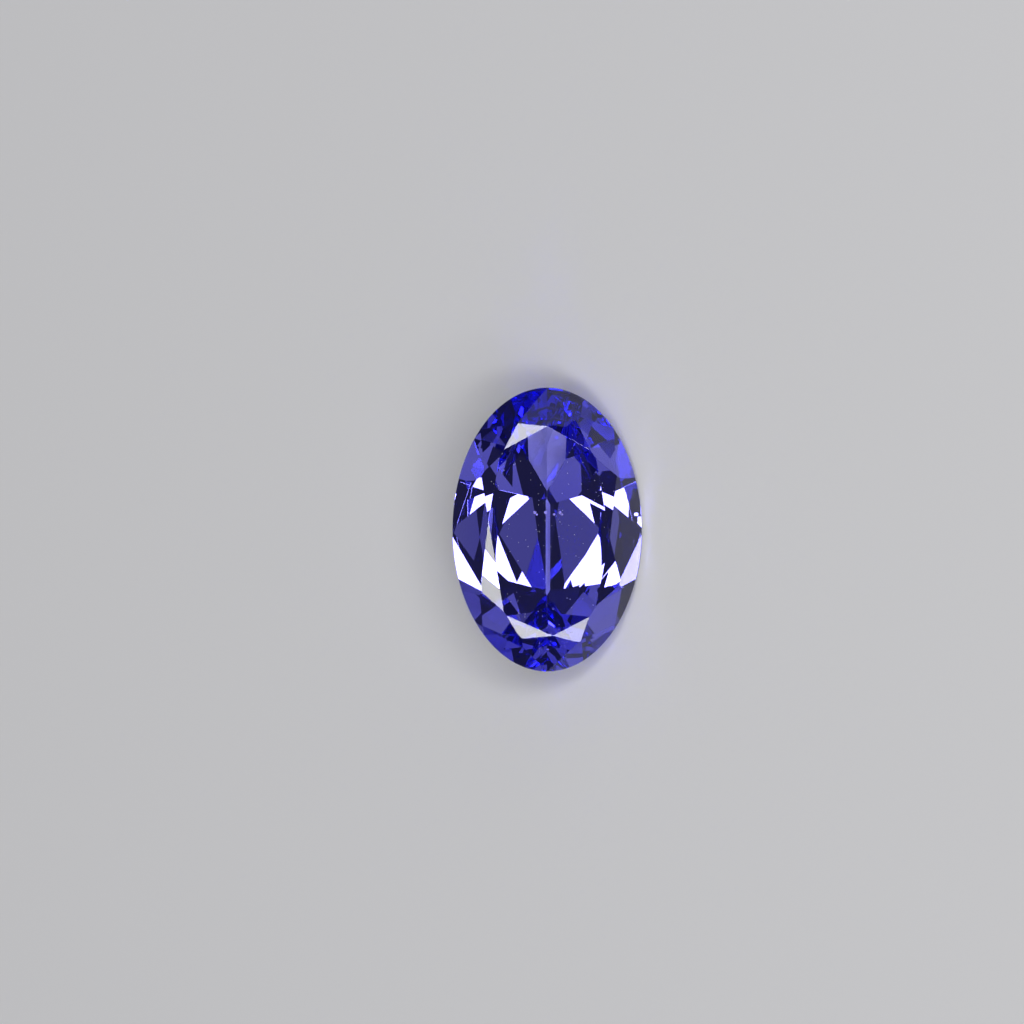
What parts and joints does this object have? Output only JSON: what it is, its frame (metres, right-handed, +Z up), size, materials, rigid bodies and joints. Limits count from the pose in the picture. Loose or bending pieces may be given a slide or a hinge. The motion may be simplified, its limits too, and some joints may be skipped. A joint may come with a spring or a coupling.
{
  "type": "faceted oval tanzanite gemstone",
  "caption": "Loose oval brilliant-cut gemstone in clear violet-blue, with a broad flat table, a faceted crown, a thin girdle and a keel-shaped pavilion, lying on one pavilion facet.",
  "frame": {"origin": "on the surface that the stone rests on, under the middle of its bounding box", "axes": "+Y along the stone's long axis, +Z up, away from the surface; the table faces up towards +X"},
  "size_m": [0.0032, 0.006, 0.0026],
  "materials": {
    "tanzanite": "polished, transparent"
  },
  "bodies": {
    "root": {"gemstone": "tanzanite"}
  },
  "joints": []
}
